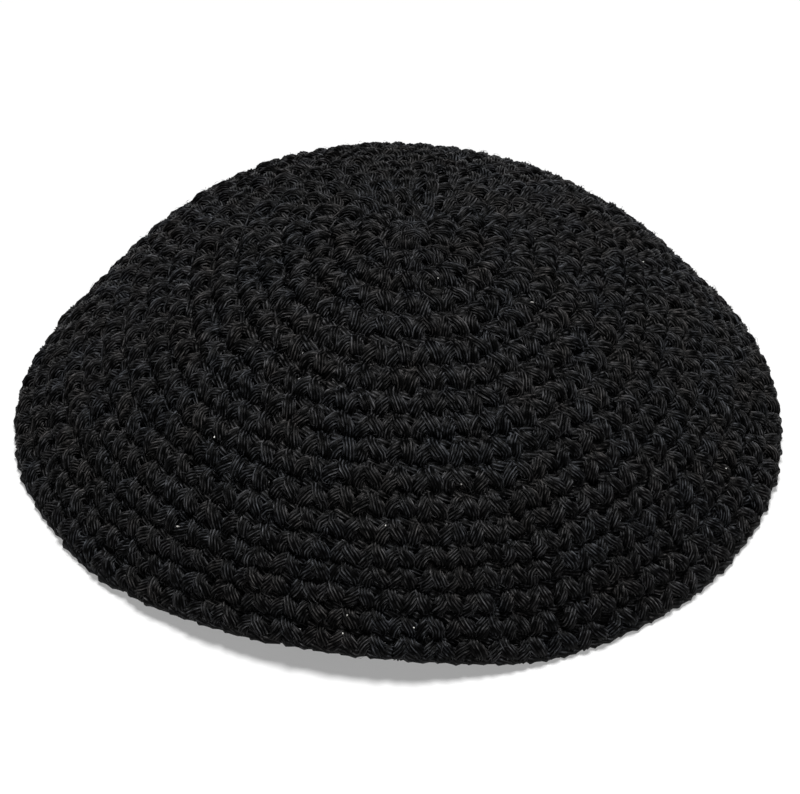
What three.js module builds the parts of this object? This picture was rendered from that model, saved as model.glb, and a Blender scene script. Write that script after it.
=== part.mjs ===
// Crocheted kippah: one shallow bowl of thick black cotton yarn, worked in rounds from the crown out.
// Millimetres, +Z up, front towards -Y. The cap lies open side down on the plane z = 0, and the
// origin is the middle of its base.

import * as THREE from 'three';

// Driving dimensions
const ROUNDS = 18;              // rounds of single crochet, counted from the crown to the rim
const ROUND_HEIGHT = 5.25;      // one round, measured along the cloth
const WALL = 4.4;               // thickness of the worked cloth: two yarns lie over each other
const FURROW_DEPTH = 1.3;       // how deep the cloth falls in between two rounds
const CROWN_DIMPLE = 1.2;       // how deep the ring that starts the work sits
const LEAN = { x: 1, y: 0.5 };  // how far the crown sits off the middle of the rim

// Last round, which turns under into a soft lip
const LIP_RISE = 1.6;           // height of the cloth's outer edge over what the lip rests on
const LIP_OUTER = 0.25;         // where the flat of the lip starts, as a share of the wall
const LIP_INNER = 0.8;          // where it ends

// One round in section: the places along it, and how much of the furrow is left at each
const ROUND_SECTION = [
  { along: 0, furrow: 1 },
  { along: 0.3, furrow: 0 },
  { along: 0.7, furrow: 0 },
];
const INSIDE_ALONG = 0.5;       // the inner face has one ring of points in the middle of each round

// How steeply the wall falls, in degrees from level, at even steps from the crown to the rim
const FALL = [
  { at: 'crown', slope: 0 },
  { at: 'top', slope: 21 },
  { at: 'shoulder', slope: 33.5 },
  { at: 'side', slope: 52 },
  { at: 'rim', slope: 58.5 },
];

// The cap is hand made and has been worn, so it isn't round. At even steps round it: how far the wall
// bulges at half its height, how far the rim stands out, and how far the rim is off the table. A lift
// below zero means that the rim is pressed flat there, so these stretches carry the cap.
const AROUND = [
  { angle: -180, bulge: -2, flare: 3.5, lift: -0.5 },
  { angle: -150, bulge: 0, flare: 0.5, lift: -0.5 },
  { angle: -120, bulge: 0.5, flare: -3.5, lift: 3.5 },
  { angle: -90, bulge: 0.5, flare: -4.5, lift: 5 },
  { angle: -60, bulge: 2, flare: -2.5, lift: -0.5 },
  { angle: -30, bulge: 0.5, flare: 1.5, lift: -0.5 },
  { angle: 0, bulge: 0, flare: 3.5, lift: 1.5 },
  { angle: 30, bulge: 1.5, flare: 3.5, lift: 0.5 },
  { angle: 60, bulge: 1, flare: -2, lift: 0.5 },
  { angle: 90, bulge: 0, flare: 0, lift: -0.5 },
  { angle: 120, bulge: 0.5, flare: 1.5, lift: -0.5 },
  { angle: 150, bulge: 0.5, flare: 0, lift: 0.5 },
];

// Points round the cap. There are more of them where there are more stitches.
const RINGS = [
  { fromRound: 0, points: 18 },
  { fromRound: 3, points: 36 },
  { fromRound: 7, points: 72 },
];

const PROFILE_STEPS = 720;      // steps for adding up the wall's fall
const NORMAL_STEP = 0.05;       // rounds to each side of a point when its slope is felt out
const NORMAL_TURN = 1;          // the same round the cap, in degrees

const slopeCurve = new THREE.CatmullRomCurve3(
  FALL.map((row) => new THREE.Vector3(THREE.MathUtils.degToRad(row.slope), 0, 0)),
  false,
  'catmullrom',
  0.5,
);

const aroundCurve = new THREE.CatmullRomCurve3(
  AROUND.map((row) => new THREE.Vector3(row.bulge, row.flare, row.lift)),
  true,
  'catmullrom',
  0.5,
);

// The wall's radius and height at each step, found by following its slope from the crown to the rim
function wallProfile() {
  const step = (ROUNDS * ROUND_HEIGHT) / PROFILE_STEPS;
  const radius = [0];
  const drop = [0];
  for (let i = 1; i <= PROFILE_STEPS; i += 1) {
    const slope = slopeCurve.getPoint((i - 0.5) / PROFILE_STEPS).x;
    radius.push(radius[i - 1] + Math.cos(slope) * step);
    drop.push(drop[i - 1] + Math.sin(slope) * step);
  }
  const height = drop.map((value) => drop[PROFILE_STEPS] - value);
  return { radius, height };
}

const profile = wallProfile();

// A value of the profile at any place between the crown (round 0) and the rim
function atRound(values, round) {
  const place = (round / ROUNDS) * PROFILE_STEPS;
  const below = Math.min(Math.floor(place), PROFILE_STEPS - 1);
  return THREE.MathUtils.lerp(values[below], values[below + 1], place - below);
}

// How the cap differs from a round one at an angle in degrees
function shapeAt(angle) {
  const turn = (((angle - AROUND[0].angle) % 360) + 360) % 360;
  const point = aroundCurve.getPoint(turn / 360);
  return { bulge: point.x, flare: point.y, lift: Math.max(point.z, 0) };
}

// The outer face of the cloth, along the tops of the rounds
function crest(round, angle) {
  const down = round / ROUNDS;
  const shape = shapeAt(angle);
  const bulge = shape.bulge * Math.sin(Math.PI * down) ** 2;
  const flare = shape.flare * down ** 3;
  const radius = atRound(profile.radius, round) + bulge + flare;
  const height = atRound(profile.height, round) + LIP_RISE + shape.lift * down ** 4;
  const lean = (1 - down) ** 1.5;
  const turn = THREE.MathUtils.degToRad(angle);
  return new THREE.Vector3(
    radius * Math.cos(turn) + LEAN.x * lean,
    radius * Math.sin(turn) + LEAN.y * lean,
    height,
  );
}

// The direction straight out of the cloth
function outward(round, angle) {
  const above = Math.max(round - NORMAL_STEP, NORMAL_STEP);
  const below = Math.min(above + 2 * NORMAL_STEP, ROUNDS);
  const down = crest(below, angle).sub(crest(above, angle));
  const across = crest(below, angle + NORMAL_TURN).sub(crest(below, angle - NORMAL_TURN));
  return across.cross(down).normalize().negate();
}

// A point this deep in the cloth, measured in from the tops of the rounds
function inCloth(round, angle, depth) {
  return crest(round, angle).addScaledVector(outward(round, angle), -depth);
}

function pointsAt(round) {
  return RINGS.filter((row) => row.fromRound <= round).at(-1).points;
}

function ring(count, place) {
  return Array.from({ length: count }, (_, i) => place((i * 360) / count));
}

// The outer face: a furrow between every two rounds and a broad rib along each of them
function outerRings() {
  const rings = [];
  for (let round = 0; round < ROUNDS; round += 1) {
    for (const row of ROUND_SECTION) {
      const place = round + row.along;
      if (place > 0) {
        const depth = FURROW_DEPTH * row.furrow;
        rings.push(ring(pointsAt(round), (angle) => inCloth(place, angle, depth)));
      }
    }
  }
  return rings;
}

// The lip: the edge of the outer face, then the flat that the cap lies on
function lipRings() {
  const count = pointsAt(ROUNDS);
  const edge = ring(count, (angle) => crest(ROUNDS, angle));
  const flats = [LIP_OUTER, LIP_INNER].map((share) => ring(count, (angle) => {
    const point = inCloth(ROUNDS, angle, WALL * share);
    point.z = shapeAt(angle).lift;
    return point;
  }));
  return [edge, ...flats];
}

// The inner face, from the rim back up to the crown
function innerRings() {
  const rings = [];
  for (let round = ROUNDS - 1; round >= 0; round -= 1) {
    const place = round + INSIDE_ALONG;
    rings.push(ring(pointsAt(round), (angle) => inCloth(place, angle, WALL)));
  }
  return rings;
}

// Joins two rings of points. Either they have as many points as each other, or one has twice as many.
function joinRings(triangles, first, second) {
  const steps = Math.max(first.length, second.length);
  const on = (points, i) => points[Math.floor((i * points.length) / steps) % points.length];
  const add = (a, b, c) => {
    if (a !== b && b !== c && c !== a) {
      triangles.push(a, b, c);
    }
  };
  for (let i = 0; i < steps; i += 1) {
    add(on(first, i), on(second, i), on(second, i + 1));
    add(on(first, i), on(second, i + 1), on(first, i + 1));
  }
}

function closeWithPoint(triangles, points, middle, outside) {
  points.forEach((point, i) => {
    const next = points[(i + 1) % points.length];
    triangles.push(...(outside ? [middle, point, next] : [middle, next, point]));
  });
}

function clothGeometry() {
  const outer = outerRings();
  const rings = [...outer, ...lipRings(), ...innerRings()];
  const top = inCloth(0, 0, CROWN_DIMPLE);
  const underTop = inCloth(0, 0, WALL);
  const triangles = [];
  closeWithPoint(triangles, rings[0], top, true);
  for (let i = 1; i < rings.length; i += 1) {
    joinRings(triangles, rings[i - 1], rings[i]);
  }
  closeWithPoint(triangles, rings.at(-1), underTop, false);
  const geometry = new THREE.BufferGeometry().setFromPoints(triangles);
  geometry.computeBoundingBox();
  const middle = geometry.boundingBox.getCenter(new THREE.Vector3());
  geometry.translate(-middle.x, -middle.y, 0);
  geometry.computeVertexNormals();
  return geometry;
}

const blackCotton = new THREE.MeshStandardMaterial({
  name: 'black_cotton',
  color: new THREE.Color(0x1b1c1e),
  roughness: 0.9,
  metalness: 0,
});

const crochetedCap = new THREE.Mesh(clothGeometry(), blackCotton);
crochetedCap.name = 'crocheted_cap';

const kippah = new THREE.Group();
kippah.name = 'kippah';
kippah.add(crochetedCap);

export default kippah;
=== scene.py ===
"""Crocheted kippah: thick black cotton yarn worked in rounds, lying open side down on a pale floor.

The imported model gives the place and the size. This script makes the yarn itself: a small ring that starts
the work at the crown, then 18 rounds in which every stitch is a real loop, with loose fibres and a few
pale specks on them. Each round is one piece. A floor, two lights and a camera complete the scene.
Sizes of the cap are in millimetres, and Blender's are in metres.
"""

import math
from collections import namedtuple

import bpy
import numpy as np
from mathutils import Matrix, Vector


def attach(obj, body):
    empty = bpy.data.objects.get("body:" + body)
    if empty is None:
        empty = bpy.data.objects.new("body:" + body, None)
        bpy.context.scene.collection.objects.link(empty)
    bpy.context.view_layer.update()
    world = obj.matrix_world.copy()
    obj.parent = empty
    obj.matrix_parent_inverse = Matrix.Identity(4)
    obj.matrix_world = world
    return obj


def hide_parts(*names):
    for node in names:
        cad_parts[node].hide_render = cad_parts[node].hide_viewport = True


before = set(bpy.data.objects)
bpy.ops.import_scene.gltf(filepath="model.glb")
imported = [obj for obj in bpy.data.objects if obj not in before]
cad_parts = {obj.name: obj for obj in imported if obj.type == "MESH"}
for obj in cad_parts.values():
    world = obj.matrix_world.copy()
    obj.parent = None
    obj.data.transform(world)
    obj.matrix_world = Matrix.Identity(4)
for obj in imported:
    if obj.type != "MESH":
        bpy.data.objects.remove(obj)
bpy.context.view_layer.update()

CAP = "crocheted_cap"
MM = 0.001
SEED = 18

# The form of the cloth, with the same values as the model's source
ROUNDS = 18
ROUND_HEIGHT = 5.25     # one round, measured along the cloth
LIP_RISE = 1.6          # height of the cloth's outer edge over what the rim lies on
LEAN = (1.0, 0.5)       # how far the crown sits off the middle of the rim

# How steeply the wall falls, in degrees from level, at even steps from the crown to the rim
FALL = (0.0, 21.0, 33.5, 52.0, 58.5)

# At even steps round the cap, in degrees: how far the wall bulges at half its height, how far the rim
# stands out, and how far it is off the floor. A lift below zero means that the rim is pressed flat there.
Around = namedtuple("Around", "angle bulge flare lift")
AROUND = (
    Around(-180, -2.0, 3.5, -0.5),
    Around(-150, 0.0, 0.5, -0.5),
    Around(-120, 0.5, -3.5, 3.5),
    Around(-90, 0.5, -4.5, 5.0),
    Around(-60, 2.0, -2.5, -0.5),
    Around(-30, 0.5, 1.5, -0.5),
    Around(0, 0.0, 3.5, 1.5),
    Around(30, 1.5, 3.5, 0.5),
    Around(60, 1.0, -2.0, 0.5),
    Around(90, 0.0, 0.0, -0.5),
    Around(120, 0.5, 1.5, -0.5),
    Around(150, 0.5, 0.0, 0.5),
)
PROFILE_STEPS = 720     # steps for adding up the wall's fall
OUTLINE_STEP = 5.0      # degrees between the points of the rim that give the middle of the base
NORMAL_STEP = 0.05      # rounds to each side of a point when its slope is felt out
NORMAL_TURN = 1         # the same round the cap, in degrees

# The yarn: a rope of fine strands, pressed a little flat against the cloth
YARN_RADIUS = 1.2
WIDENED = 1.07          # its width along the cloth, as a share of a round rope's
FLATTENED = 0.94        # its thickness, likewise
STRANDS = 13
STRAND_RELIEF = 0.13    # how far strands stand out and grooves sink in, as a share of the radius
STRAND_TURN = 0.36      # how far the strands turn in one millimetre, in radians
STRAND_SLACK = 0.035    # spread of the strands' height, in millimetres
THICKNESS_SLACK = 0.05  # spread of the yarn's thickness, as a share of it
TUBE_SIDES = 2 * STRANDS
FLOOR_CLEARANCE = 1.1   # how high the middle of the yarn stays over what the rim lies on, in yarn radii

# The ring of yarn that starts the work, at the middle of the crown
START_RADIUS = 1.2
START_OVAL = 0.08       # how far it is from round, as a share of its radius
START_DEEP = 1.1        # how deep it lies in the cloth
START_WAVE = 0.25       # how far it goes up and down, three times round
START_THICKNESS = 0.95
START_STEPS = 26

# A thin hair with eight vertices: its two ends, and two rings of three between them. Along is the share of
# the way from end to end, around is in degrees, and wide is in radii of the hair.
HairPoint = namedtuple("HairPoint", "along around wide")
HAIR_POINTS = (
    HairPoint(0, 0, 0),
    HairPoint(1 / 3, 0, 1),
    HairPoint(1 / 3, 120, 1),
    HairPoint(1 / 3, 240, 1),
    HairPoint(2 / 3, 0, 1),
    HairPoint(2 / 3, 120, 1),
    HairPoint(2 / 3, 240, 1),
    HairPoint(1, 0, 0),
)
HAIR_START = ((0, 1, 2), (0, 2, 3), (0, 3, 1))
HAIR_MIDDLE = ((1, 4, 5), (1, 5, 2), (2, 5, 6), (2, 6, 3), (3, 6, 4), (3, 4, 1))
HAIR_END = ((7, 5, 4), (7, 6, 5), (7, 4, 6))
HAIR_BOW = 0.3          # how far a hair bows sideways, as a share of its span
HAIR_BOW_TURN = 7       # makes the bow's size and side change with the span

# Loose fibres: short hairs that arch out of the yarn and back, or end in the air
FIBRES_PER_STITCH = 7
FIBRE_RADIUS = 0.03
FIBRE_SPAN = (0.8, 2.6)     # least and most, from end to end
FIBRE_RISE = (0.15, 0.75)   # least and most, at the highest place
FIBRE_TURN = 0.8        # spread of their turn away from the strands' way, in radians
FIBRE_SINK = 0.12       # how deep their ends are in the yarn
FIBRE_LOWEST = 1.6      # none grows from yarn that is nearer to the floor than this
FACING_OUT = 0.3        # least share of a corner's way out that has to point out of the cloth

# Pale specks on the yarn, at places in rounds from the crown and degrees
Speck = namedtuple("Speck", "round angle span")
PALE_SPECKS = (
    Speck(14.4, -131, 1.0),
    Speck(5.4, -29, 1.1),
    Speck(10.6, -76, 0.5),
    Speck(2.7, -64, 0.4),
    Speck(2.9, 37, 0.4),
    Speck(12.2, -92, 0.4),
    Speck(10.0, 16, 0.5),
    Speck(15.6, 21, 0.4),
    Speck(15.4, -20, 0.5),
    Speck(10.8, -133, 0.5),
    Speck(16.0, -98, 0.4),
    Speck(16.4, -87, 0.4),
    Speck(17.0, -98, 0.5),
)
PALE_SPECK_RADIUS = 0.15
PALE_SPECK_RISE = 0.5         # as a share of its span

# Stitches: each of the first rounds has six more than the one before, the next ones have four more, and the
# last ones have no more
FIRST_ROUNDS = 6
FIRST_INCREASE = 6
NEXT_ROUNDS = 9
NEXT_INCREASE = 4
STACK_SHIFT = 0.58      # how far a round's stitches start past those of the round above, in stitches

# The way of the yarn through one stitch, crown side up and seen from outside. Across is in widths of the
# stitch, down is in rounds from the stitch's top, and deep is from the cloth's outer face, in millimetres.
# The steps are those to the next bend. Where there is only one, the yarn is hidden and has fewer sides.
Bend = namedtuple("Bend", "place across down deep steps")
STITCH = (
    Bend("up the back", -0.49, 0.38, 3.40, 1),
    Bend("into the hole", -0.12, 0.12, 3.10, 1),
    Bend("out of the hole", -0.08, 0.12, 2.55, 2),
    Bend("left leg", -0.15, 0.28, 1.50, 2),
    Bend("left leg", -0.24, 0.47, 0.98, 2),
    Bend("left leg", -0.30, 0.66, 1.30, 2),
    Bend("round the head", -0.23, 0.80, 2.60, 1),
    Bend("round the head", 0.06, 0.86, 3.00, 1),
    Bend("right leg", 0.35, 0.76, 2.25, 2),
    Bend("right leg", 0.32, 0.56, 0.98, 2),
    Bend("right leg", 0.16, 0.35, 0.90, 2),
    Bend("into the hole", 0.01, 0.17, 2.10, 1),
    Bend("through the hole", -0.04, 0.08, 2.90, 1),
    Bend("down the back", 0.05, 0.46, 3.45, 1),
    Bend("out to the front", -0.12, 0.96, 3.05, 1),
    Bend("front of the chain", 0.05, 1.07, 2.50, 1),
    Bend("under the next round", 0.50, 1.03, 2.60, 1),
    Bend("end of the chain", 0.86, 1.03, 3.00, 1),
    Bend("back of the chain", 0.72, 0.97, 3.50, 1),
)
STEPS = np.array([bend.steps for bend in STITCH])
HIDDEN_FULLER = 0.2     # how much thicker the hidden yarn is, which closes the cloth behind the stitches
EDGE = 1.0              # how far down the yarn of the last round may go, in rounds

# How much the stitches differ: the spread of a stitch's place, in the units of the bends, that of each
# single bend as a share of it, and the spread of a stitch's width and of its tilt, in widths
ACROSS_SLACK = 0.045
DOWN_SLACK = 0.03
DEEP_SLACK = 0.14
BEND_SLACK = 0.5
WIDTH_SLACK = 0.1
TILT_SLACK = 0.1

# Towards the crown the stitches are looser and the yarn is drawn thinner
CROWN_SLACK = 1.5       # how much looser the first round is
CROWN_THIN = 0.2        # how much thinner the yarn would be at the very middle
CROWN_ROUNDS = 4        # where that ends
CENTRE_HOLE = 0.26      # no stitch goes nearer to the middle than this, in rounds

# Each round wanders up and down in several waves round the cap
Wave = namedtuple("Wave", "count share")
WAVES = (Wave(2, 0.9), Wave(3, 1.0), Wave(5, 0.8), Wave(9, 0.7), Wave(14, 0.5))
WAVE_HEIGHT = 0.045     # in rounds
WAVE_START = 1.7        # where a wave starts, in radians for each of its count
WAVE_DRIFT = 0.35       # the least that it moves on from one round to the next, in radians
WAVE_ROUNDS = 6         # the waves grow to their full height down to this round

# The shade of the cotton, with painted light and shade: a strand is painted pale along its crest, as if lit,
# and dark in the grooves beside it, where shade falls
CREST_PAINTED_LIGHT = 0.0189
GROOVE_PAINTED_SHADE = 0.0002
CREST_POWER = 2.4       # how quickly the painted shade darkens from the crest into the grooves
CREST_HEIGHT = 0.6      # the crest's share of the bumps, next to that of the fine fibres
BUMP_DEPTH = 0.00016    # in metres
BLUISH = (0.94, 1.0, 1.12, 1)
BROWNISH = (1.05, 0.99, 0.97, 1)
FIBRE_COLOUR = (0.0215, 0.022, 0.0245)
FIBRE_ROUGHNESS = 0.6
PALE_SPECK_COLOUR = (0.54, 0.53, 0.5)
PALE_SPECK_ROUGHNESS = 0.9

# Noise in the cotton: its own settings, the range of it that is used, and what that range becomes
Noise = namedtuple("Noise", "scale detail roughness low high first last")
DASHES = Noise(1.0, 1.0, 0.5, 0.4, 0.68, 0.08, 3.0)
FINE_FIBRES = Noise(1.0, 3.0, 0.7, 0.4, 0.65, 0.1, 2.2)
TINT_PATCHES = Noise(120.0, 2.0, 0.6, 0.35, 0.65, 0.0, 1.0)
UNEVEN_SHADE = Noise(700.0, 2.0, 0.5, 0.35, 0.65, 0.5, 1.4)
DASH_RATE = 0.95        # dashes in a millimetre of a strand
STRAND_APART = 7.3      # keeps the dashes of neighbouring strands from being alike
FINE_RATE = (1.3, 40.0, 1.0)  # fine fibres in a millimetre of the yarn and round it

# The camera, at the photograph's angle, in degrees and millimetres
IMAGE_WIDTH = 800
PIXELS_PER_MM = 4.94
CAMERA_ELEVATION = 43.0
CAMERA_DISTANCE = 760.0
CAMERA_ROLL = 1.4
AIM_RIGHT = 0.3
AIM_UP = 4.5

# The floor, and the lights in metres and watts
FLOOR_REACH = 4000.0    # from the middle to each side, in millimetres
LIGHT_AIM = (0, 0, 0.03)
Light = namedtuple("Light", "name place size power")
LIGHTS = (
    Light("overhead", (0.05, 0.05, 1.6), 0.55, 50.0),
    Light("front_fill", (0.05, -1.2, 0.75), 0.8, 4.2),
)
ROOM_LIGHT = 0.05


def unit(vectors):
    return vectors / np.linalg.norm(vectors, axis=-1, keepdims=True)


def smooth_curve(values, place):
    """Catmull-Rom curve through rows of values; place holds the row's number and the share past it."""
    row = np.floor(place).astype(int)
    share = (place - row)[..., None]
    before, start, end, after = (values[row + step] for step in (0, 1, 2, 3))
    return 0.5 * (
        2 * start
        + (end - before) * share
        + (2 * before - 5 * start + 4 * end - after) * share**2
        + (3 * start - before - 3 * end + after) * share**3
    )


def wall_profile():
    """Radius and height of the wall at even steps, found by following its fall from the crown."""
    slopes = np.radians(FALL)
    ends = np.concatenate([[2 * slopes[0] - slopes[1]], slopes, [2 * slopes[-1] - slopes[-2]]])
    middles = (np.arange(PROFILE_STEPS) + 0.5) / PROFILE_STEPS * (len(FALL) - 1)
    slope = smooth_curve(ends[:, None], middles)[:, 0]
    step = ROUNDS * ROUND_HEIGHT / PROFILE_STEPS
    radius = np.concatenate([[0.0], np.cumsum(np.cos(slope) * step)])
    drop = np.concatenate([[0.0], np.cumsum(np.sin(slope) * step)])
    return radius, drop[-1] - drop


PROFILE_RADIUS, PROFILE_HEIGHT = wall_profile()


def at_round(values, rounds):
    """A value of the profile at any place, carried on straight past the rim."""
    place = np.asarray(rounds) / ROUNDS * PROFILE_STEPS
    below = np.clip(np.floor(place).astype(int), 0, PROFILE_STEPS - 1)
    return values[below] + (values[below + 1] - values[below]) * (place - below)


def shape_at(angles):
    """Bulge, flare and lift of the wall at angles in degrees."""
    rows = np.array([[row.bulge, row.flare, row.lift] for row in AROUND])
    rows = np.concatenate([rows[-1:], rows, rows[:2]])
    place = ((np.asarray(angles) - AROUND[0].angle) % 360) / 360 * len(AROUND)
    bulge, flare, lift = np.moveaxis(smooth_curve(rows, place), -1, 0)
    return bulge, flare, np.maximum(lift, 0)


def crest(rounds, angles):
    """The outer face of the cloth, along the tops of the rounds."""
    down = np.asarray(rounds) / ROUNDS
    bulge, flare, lift = shape_at(angles)
    radius = at_round(PROFILE_RADIUS, rounds) + bulge * np.sin(np.pi * down) ** 2 + flare * down**3
    height = at_round(PROFILE_HEIGHT, rounds) + LIP_RISE + lift * down**4
    lean = np.clip(1 - down, 0, None) ** 1.5
    turn = np.radians(angles)
    return np.stack(
        [
            radius * np.cos(turn) + LEAN[0] * lean,
            radius * np.sin(turn) + LEAN[1] * lean,
            height,
        ],
        axis=-1,
    )


def outward(rounds, angles):
    """The direction straight out of the cloth."""
    above = np.maximum(np.asarray(rounds) - NORMAL_STEP, NORMAL_STEP)
    below = above + 2 * NORMAL_STEP
    down = crest(below, angles) - crest(above, angles)
    across = crest(below, angles + NORMAL_TURN) - crest(below, angles - NORMAL_TURN)
    return unit(np.cross(down, across))


def base_middle():
    """The middle of the cloth's outline seen from above, which is the origin of the frame."""
    angles = np.arange(0, 360, OUTLINE_STEP)
    rim = crest(np.full(angles.shape, float(ROUNDS)), angles)
    return (rim.min(axis=0) + rim.max(axis=0)) / 2 * (1, 1, 0)


BASE_MIDDLE = base_middle()


def in_cloth(rounds, angles, deep):
    """A point this deep in the cloth, in the frame's millimetres."""
    point = crest(rounds, angles) - outward(rounds, angles) * np.asarray(deep)[..., None]
    return point - BASE_MIDDLE


def stitches_in(round_number):
    first = min(round_number, FIRST_ROUNDS)
    following = min(max(round_number - FIRST_ROUNDS, 0), NEXT_ROUNDS)
    return FIRST_INCREASE * first + NEXT_INCREASE * following


def row_wave(round_number, angles):
    """How far a round wanders from its place, in rounds. Neighbours wander alike."""
    height = np.zeros(np.shape(angles))
    for wave in WAVES:
        phase = WAVE_START * wave.count + WAVE_DRIFT * round_number * (1 + wave.count % 3)
        height = height + wave.share * np.sin(np.radians(angles) * wave.count + phase)
    return height * WAVE_HEIGHT * min(round_number / WAVE_ROUNDS, 1)


def round_path(round_number, rng):
    """The bends of one round's yarn, each with its place in rounds, its angle, its depth and a thickness."""
    count = stitches_in(round_number)
    bends = np.array([[bend.across, bend.down, bend.deep] for bend in STITCH])
    looser = 1 + CROWN_SLACK / round_number
    slack = np.reshape([ACROSS_SLACK, DOWN_SLACK, DEEP_SLACK], (3, 1, 1)) * looser
    widths = 1 + rng.uniform(-WIDTH_SLACK, WIDTH_SLACK, count)
    widths = widths / widths.sum()
    middles = np.cumsum(widths) - widths / 2 + round_number * STACK_SHIFT / count
    whole_stitch = rng.normal(0, 1, (3, count, 1)) * slack
    each_bend = rng.normal(0, BEND_SLACK, (3, count, len(STITCH))) * slack
    across, down, deep = bends.T[:, None] + whole_stitch + each_bend
    if round_number == ROUNDS:
        down = np.minimum(down, EDGE)
    across = across + (down - 0.5) * rng.normal(0, TILT_SLACK * looser, (count, 1))
    angles = (middles[:, None] + across * widths[:, None]) * 360
    rounds = np.maximum(round_number - 1 + down, CENTRE_HOLE) + row_wave(round_number, angles)
    thin = CROWN_THIN * max(1 - round_number / CROWN_ROUNDS, 0)
    thickness = rng.normal(1 - thin, THICKNESS_SLACK, rounds.shape)
    thickness = thickness + HIDDEN_FULLER * (STEPS == 1)
    return np.stack([rounds, angles, deep, thickness], axis=-1).reshape(-1, 4)


def along_bends(bends):
    """A closed smooth curve through the bends, and where it is hidden. Angles run on past 360."""
    turn = np.array([0.0, 360.0, 0.0, 0.0])
    closed = np.concatenate([bends[-1:] - turn, bends, bends[:2] + turn])
    steps = np.tile(STEPS, len(bends) // len(STITCH))
    place = np.concatenate([row + np.arange(count) / count for row, count in enumerate(steps)])
    return smooth_curve(closed, place), np.repeat(steps == 1, steps)


def rest_on_floor(points, angles):
    """Keeps the middle of the yarn high enough over the floor, or over the height of the lifted rim."""
    lowest = shape_at(angles)[2] + YARN_RADIUS * FLOOR_CLEARANCE
    points[:, 2] = np.maximum(points[:, 2], lowest)
    return points


def carried_frames(points):
    """Two directions square to a closed path at each point, turning as little as they can."""
    ahead = np.roll(points, -1, axis=0) - np.roll(points, 1, axis=0)
    ahead /= np.linalg.norm(ahead, axis=1, keepdims=True)
    side = np.empty_like(points)
    current = np.cross(ahead[0], (0.0, 0.0, 1.0))
    for i, direction in enumerate(ahead):
        current = current - direction * float(np.dot(current, direction))
        current = current / math.sqrt(float(np.dot(current, current)))
        side[i] = current
    return ahead, side, np.cross(ahead, side)


def strand_twist(length, ahead, side, other):
    """The turn of the strands at each point, made up so that they meet themselves where the yarn closes."""
    last = side[-1] - ahead[0] * float(np.dot(side[-1], ahead[0]))
    gap = math.atan2(float(np.dot(last, other[0])), float(np.dot(last, side[0])))
    strand = 2 * math.pi / STRANDS
    turns = round((length[-1] * STRAND_TURN + gap) / strand) * strand - gap
    return length[:-1] / length[-1] * turns


def yarn_surface(points, normals, thickness, rng):
    """The corners of a rope of strands along a closed path, their ways out, and the length there."""
    ahead, side, other = carried_frames(points)
    steps = np.linalg.norm(np.roll(points, -1, axis=0) - points, axis=1)
    length = np.concatenate([[0.0], np.cumsum(steps)])
    corner = np.arange(TUBE_SIDES)
    around = corner / TUBE_SIDES * 2 * math.pi + strand_twist(length, ahead, side, other)[:, None]
    radius = YARN_RADIUS * thickness[:, None] * (1 + STRAND_RELIEF * np.where(corner % 2, -1, 1))
    radius = radius + rng.normal(0, STRAND_SLACK, radius.shape)
    out = side[:, None] * np.cos(around)[..., None] + other[:, None] * np.sin(around)[..., None]
    normals = normals[:, None]
    raised = (out * normals).sum(axis=-1, keepdims=True)
    out = out * WIDENED + normals * raised * (FLATTENED - WIDENED)
    return points[:, None] + out * radius[..., None], unit(out), length


def joined(corners, length, hidden):
    """The rope's closed surface: its vertices, triangles, places along the yarn, and which are in grooves.

    Hidden parts of the rope leave out the corners in the grooves.
    """
    count = len(corners)
    ring = np.arange(count)[:, None, None] + [0, 0, 1, 1]
    corner = np.arange(TUBE_SIDES)[:, None] + [0, 1, 1, 0]
    corner = corner - corner % 2 * hidden[ring % count]
    index = ring % count * TUBE_SIDES + corner % TUBE_SIDES
    places = np.stack(np.broadcast_arrays(length[ring], corner / TUBE_SIDES), axis=-1)
    halves = [0, 1, 2, 0, 2, 3]
    triangles = index[..., halves].reshape(-1, 3)
    places = places[..., halves, :].reshape(-1, 3, 2)
    whole = (triangles != np.roll(triangles, 1, axis=1)).all(axis=1)
    used, triangles = np.unique(triangles[whole], return_inverse=True)
    return corners.reshape(-1, 3)[used], triangles.reshape(-1, 3), places[whole], used % 2 == 1


def open_places(corners, out, normals, hidden):
    """Corners clear of the floor that face out of the cloth, their ways out, and the yarn's way there."""
    ahead = unit(np.roll(corners, -1, axis=0) - corners)
    facing = (out * normals[:, None]).sum(axis=-1) > FACING_OUT
    free = facing & ~hidden[:, None] & (corners[..., 2] > FIBRE_LOWEST)
    return np.stack([corners[free], out[free], ahead[free]])


def hairs(places, span, rise, free, radius):
    """Thin closed arcs. Free ones end in the air, and the others go back into the yarn."""
    base, out, along = places
    side = np.cross(out, along)
    share, around, wide = np.array(HAIR_POINTS).T
    around = np.radians(around)
    wide = radius * wide
    arch = 4 * share * (1 - share)
    height = rise[:, None] * (arch + free[:, None] * (share - arch)) - FIBRE_SINK + wide * np.cos(around)
    forward = span[:, None] * (share - 0.5)
    bow = span[:, None] * HAIR_BOW * arch * np.cos(HAIR_BOW_TURN * span[:, None])
    sideways = bow + wide * np.sin(around)
    vertices = base[:, None] + out[:, None] * height[..., None]
    vertices = vertices + along[:, None] * forward[..., None] + side[:, None] * sideways[..., None]
    first_vertices = len(HAIR_POINTS) * np.arange(len(base))
    triangles = np.array(HAIR_START + HAIR_MIDDLE + HAIR_END) + first_vertices[:, None, None]
    return vertices.reshape(-1, 3), triangles.reshape(-1, 3)


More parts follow.
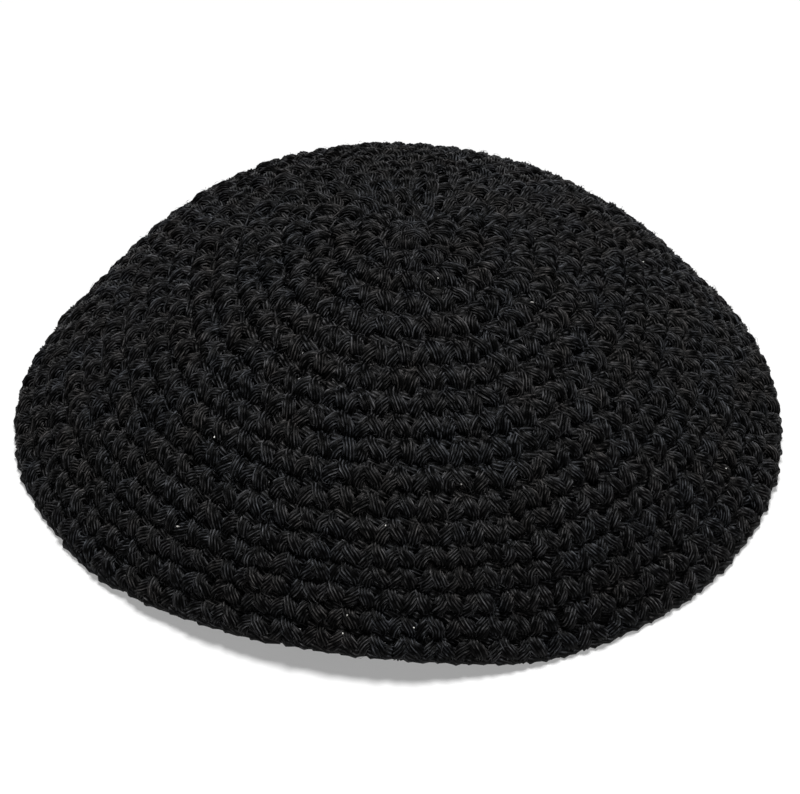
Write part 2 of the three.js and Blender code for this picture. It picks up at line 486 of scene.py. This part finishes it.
def mesh_piece(name, vertices, faces, material, places=None, creased=None):
    """A smooth mesh object from arrays in millimetres, creased along the edges between marked vertices."""
    mesh = bpy.data.meshes.new(name)
    corners = faces.shape[1]
    mesh.vertices.add(len(vertices))
    mesh.vertices.foreach_set("co", (vertices * MM).astype(np.float32).ravel())
    mesh.loops.add(faces.size)
    mesh.loops.foreach_set("vertex_index", faces.astype(np.int32).ravel())
    mesh.polygons.add(len(faces))
    mesh.polygons.foreach_set("loop_start", np.arange(0, faces.size, corners, dtype=np.int32))
    mesh.polygons.foreach_set("use_smooth", np.ones(len(faces), dtype=bool))
    if places is not None:
        layer = mesh.uv_layers.new(name="along_yarn")
        layer.data.foreach_set("uv", places.astype(np.float32).ravel())
    mesh.update(calc_edges=True)
    if creased is not None:
        ends = np.empty(2 * len(mesh.edges), dtype=np.int32)
        mesh.edges.foreach_get("vertices", ends)
        mesh.edges.foreach_set("use_edge_sharp", creased[ends.reshape(-1, 2)].all(axis=1))
    mesh.validate()
    mesh.materials.append(material)
    piece = bpy.data.objects.new(name, mesh)
    bpy.context.scene.collection.objects.link(piece)
    return piece


def on_the_cap(piece):
    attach(piece, "root")
    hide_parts(CAP)


class Nodes:
    """Short names for making a material's nodes and joining them."""

    def __init__(self, material):
        material.use_nodes = True
        self.tree = material.node_tree
        self.tree.nodes.clear()

    def add(self, kind, inputs=None, **settings):
        node = self.tree.nodes.new(kind)
        for key, value in settings.items():
            setattr(node, key, value)
        for key, value in (inputs or {}).items():
            if isinstance(value, bpy.types.NodeSocket):
                self.tree.links.new(value, node.inputs[key])
            else:
                node.inputs[key].default_value = value
        return node

    def math(self, operation, first, second):
        return self.add("ShaderNodeMath", {0: first, 1: second}, operation=operation).outputs[0]

    def scaled(self, vector, factor):
        return self.add("ShaderNodeVectorMath", {0: vector, "Scale": factor}, operation="SCALE").outputs[0]

    def noise(self, place, kind):
        inputs = {
            "Vector": place,
            "Scale": kind.scale,
            "Detail": kind.detail,
            "Roughness": kind.roughness,
        }
        return self.add("ShaderNodeTexNoise", inputs).outputs["Fac"]

    def ranged(self, value, kind):
        """Takes the used range of a noise to what it becomes, and no further."""
        inputs = {
            "Value": value,
            "From Min": kind.low,
            "From Max": kind.high,
            "To Min": kind.first,
            "To Max": kind.last,
        }
        return self.add("ShaderNodeMapRange", inputs, clamp=True).outputs[0]

    def object_place(self):
        return self.add("ShaderNodeTexCoord").outputs["Object"]

    def shader(self, inputs):
        """Ends the material in one shader with these inputs."""
        surface = self.add("ShaderNodeBsdfPrincipled", inputs)
        self.add("ShaderNodeOutputMaterial", {"Surface": surface.outputs[0]})


def yarn_material():
    """Near-black cotton. Each fine strand has painted light and shade: it is painted paler along its top, as
    if lit, and darker into the grooves beside it, where shade falls. Its shade also changes at random as it
    goes.
    """
    material = bpy.data.materials.new("black_cotton_yarn")
    nodes = Nodes(material)
    place = nodes.add("ShaderNodeUVMap", uv_map="along_yarn").outputs[0]
    split = nodes.add("ShaderNodeSeparateXYZ", {0: place}).outputs
    strands = nodes.math("MULTIPLY", split["Y"], float(STRANDS))
    # Painted shade: the colour darkens from each strand's crest into the grooves beside it, where shade
    # falls; the same profile also raises the bumps
    groove = nodes.math("MULTIPLY", nodes.math("PINGPONG", strands, 0.5), 2.0)
    top = nodes.math("POWER", nodes.math("SUBTRACT", 1.0, groove), CREST_POWER)
    nearest = nodes.math("FLOOR", nodes.math("ADD", strands, 0.5), 0.0)
    strand = nodes.math("MODULO", nearest, float(STRANDS))
    strand_place = nodes.add(
        "ShaderNodeCombineXYZ",
        {
            "X": nodes.math("MULTIPLY", split["X"], DASH_RATE),
            "Y": nodes.math("MULTIPLY", strand, STRAND_APART),
        },
    )
    dashes = nodes.ranged(nodes.noise(strand_place.outputs[0], DASHES), DASHES)
    fine_place = nodes.add("ShaderNodeVectorMath", {0: place, 1: FINE_RATE}, operation="MULTIPLY")
    fibres = nodes.noise(fine_place.outputs[0], FINE_FIBRES)
    fine = nodes.ranged(fibres, FINE_FIBRES)
    # Painted light and shade: the lit crest and shaded grooves, times random dashes and fine fibres, give
    # the cotton's colour
    shade = nodes.math("MULTIPLY", nodes.math("MULTIPLY", top, dashes), fine)
    shade = nodes.math("ADD", nodes.math("MULTIPLY", shade, CREST_PAINTED_LIGHT), GROOVE_PAINTED_SHADE)
    patches = nodes.ranged(nodes.noise(nodes.object_place(), TINT_PATCHES), TINT_PATCHES)
    tint = nodes.add("ShaderNodeMix", {"Factor": patches, 6: BLUISH, 7: BROWNISH}, data_type="RGBA")
    height = nodes.math("ADD", nodes.math("MULTIPLY", top, CREST_HEIGHT), fibres)
    bump = nodes.add("ShaderNodeBump", {"Strength": 1.0, "Distance": BUMP_DEPTH, "Height": height})
    nodes.shader(
        {
            "Base Color": nodes.scaled(tint.outputs[2], shade),
            "Roughness": 0.42,
            "Specular IOR Level": 0.043,
            "Sheen Weight": 0.003,
            "Sheen Roughness": 0.35,
            "Sheen Tint": (0.85, 0.9, 1.0, 1),
            "Normal": bump.outputs["Normal"],
        }
    )
    return material


def plain_cotton(name, colour, roughness):
    """Cotton seen as single fibres, a little uneven in shade."""
    material = bpy.data.materials.new(name)
    nodes = Nodes(material)
    shade = nodes.ranged(nodes.noise(nodes.object_place(), UNEVEN_SHADE), UNEVEN_SHADE)
    nodes.shader({"Base Color": nodes.scaled(colour, shade), "Roughness": roughness})
    return material


def floor_material():
    material = bpy.data.materials.new("pale_floor")
    nodes = Nodes(material)
    inputs = {"Vector": nodes.object_place(), "Scale": 900.0, "Detail": 2.0}
    grain = nodes.add("ShaderNodeTexNoise", inputs).outputs["Fac"]
    bump = nodes.add("ShaderNodeBump", {"Strength": 0.05, "Distance": 0.0002, "Height": grain})
    nodes.shader(
        {
            "Base Color": (0.35, 0.35, 0.35, 1),
            "Roughness": 0.6,
            "Emission Color": (1, 1, 1, 1),
            "Emission Strength": 0.3,
            "Normal": bump.outputs["Normal"],
        }
    )
    return material


def start_ring():
    """The starting ring's places in rounds, angles, depths, thicknesses and where it is hidden: nowhere."""
    turn = np.arange(START_STEPS) / START_STEPS * 360
    rounds = START_RADIUS / ROUND_HEIGHT * (1 + START_OVAL * np.sin(np.radians(turn) * 2))
    deep = START_DEEP + START_WAVE * np.cos(np.radians(turn) * 3)
    return rounds, turn, deep, np.full(START_STEPS, START_THICKNESS), np.zeros(START_STEPS, dtype=bool)


def stitched_round(number, rng):
    """The same five for a round of stitches."""
    path, hidden = along_bends(round_path(number, rng))
    return *path.T, hidden


def make_yarn(material, rng):
    """The starting ring and all rounds. Returns the open places on each, for fibres and pale specks."""
    opened = []
    for number in range(ROUNDS + 1):
        name = f"round_{number:02d}" if number else "starting_ring"
        rounds, angles, deep, thickness, hidden = stitched_round(number, rng) if number else start_ring()
        points = rest_on_floor(in_cloth(rounds, angles, deep), angles)
        normals = outward(rounds, angles)
        corners, out, length = yarn_surface(points, normals, thickness, rng)
        corners[..., 2] = np.maximum(corners[..., 2], 0)
        vertices, triangles, places, grooves = joined(corners, length, hidden)
        on_the_cap(mesh_piece(name, vertices, triangles, material, places, grooves))
        opened.append(open_places(corners, out, normals, hidden))
    return opened


def make_fibres(opened, rng):
    """Loose fibres at random open places of the rounds. The starting ring has none."""
    chosen = []
    for number, places in enumerate(opened[1:], start=1):
        pick = rng.integers(0, places.shape[1], stitches_in(number) * FIBRES_PER_STITCH)
        chosen.append(places[:, pick])
    base, out, ahead = np.concatenate(chosen, axis=1)
    count = len(base)
    turn = rng.normal(0, FIBRE_TURN, (count, 1))
    along = ahead * np.cos(turn) + np.cross(out, ahead) * np.sin(turn)
    span = rng.uniform(*FIBRE_SPAN, count)
    rise = rng.uniform(*FIBRE_RISE, count)
    vertices, triangles = hairs((base, out, along), span, rise, rng.uniform(0, 1, count), FIBRE_RADIUS)
    material = plain_cotton("loose_black_fibre", FIBRE_COLOUR, FIBRE_ROUGHNESS)
    on_the_cap(mesh_piece("loose_fibres", vertices, triangles, material))


# Pale specks: short pale curls set on the yarn at the listed places
def make_pale_specks(opened):
    """Each speck sits on the open yarn that is nearest to its place."""
    places = np.concatenate(opened, axis=1)
    rounds, angles, span = np.array(PALE_SPECKS).T
    wanted = in_cloth(rounds, angles, np.zeros(len(PALE_SPECKS)))
    nearest = [np.linalg.norm(places[0] - point, axis=1).argmin() for point in wanted]
    none_free = np.zeros(len(PALE_SPECKS))
    vertices, triangles = hairs(places[:, nearest], span, span * PALE_SPECK_RISE, none_free, PALE_SPECK_RADIUS)
    material = plain_cotton("pale_speck", PALE_SPECK_COLOUR, PALE_SPECK_ROUGHNESS)
    on_the_cap(mesh_piece("pale_specks", vertices, triangles, material))


def make_floor():
    corners = np.array([[-1, -1, 0], [1, -1, 0], [1, 1, 0], [-1, 1, 0]]) * FLOOR_REACH
    floor = mesh_piece("floor", corners, np.array([[0, 1, 2, 3]]), floor_material())


def make_camera():
    """A long lens at the photograph's angle, rolled a little and aimed to put the cap in its place."""
    data = bpy.data.cameras.new("camera")
    data.lens = CAMERA_DISTANCE * PIXELS_PER_MM * data.sensor_width / IMAGE_WIDTH
    camera = bpy.data.objects.new("camera", data)
    bpy.context.scene.collection.objects.link(camera)
    bpy.context.scene.camera = camera
    tilt = math.radians(CAMERA_ELEVATION)
    back = Vector((0, -math.cos(tilt), math.sin(tilt)))
    up = Vector((0, math.sin(tilt), math.cos(tilt)))
    aim = Vector((1, 0, 0)) * AIM_RIGHT + up * AIM_UP
    turn = Matrix.Rotation(math.radians(90 - CAMERA_ELEVATION), 4, "X")
    roll = Matrix.Rotation(math.radians(CAMERA_ROLL), 4, "Z")
    camera.matrix_world = Matrix.Translation((aim + back * CAMERA_DISTANCE) * MM) @ turn @ roll


def make_light(row):
    data = bpy.data.lights.new(row.name, "AREA")
    data.shape = "DISK"
    data.size = row.size
    data.energy = row.power
    light = bpy.data.objects.new(row.name, data)
    light.location = row.place
    light.rotation_euler = (Vector(LIGHT_AIM) - Vector(row.place)).to_track_quat("-Z", "Y").to_euler()
    bpy.context.scene.collection.objects.link(light)


def make_studio():
    scene = bpy.context.scene
    scene.view_settings.view_transform = "Standard"
    world = bpy.data.worlds.new("studio")
    scene.world = world
    world.use_nodes = True
    world.node_tree.nodes["Background"].inputs["Color"].default_value = (1, 1, 1, 1)
    world.node_tree.nodes["Background"].inputs["Strength"].default_value = ROOM_LIGHT
    for row in LIGHTS:
        make_light(row)


make_camera()
rng = np.random.default_rng(SEED)
open_yarn = make_yarn(yarn_material(), rng)
make_fibres(open_yarn, rng)
make_pale_specks(open_yarn)
make_floor()
make_studio()
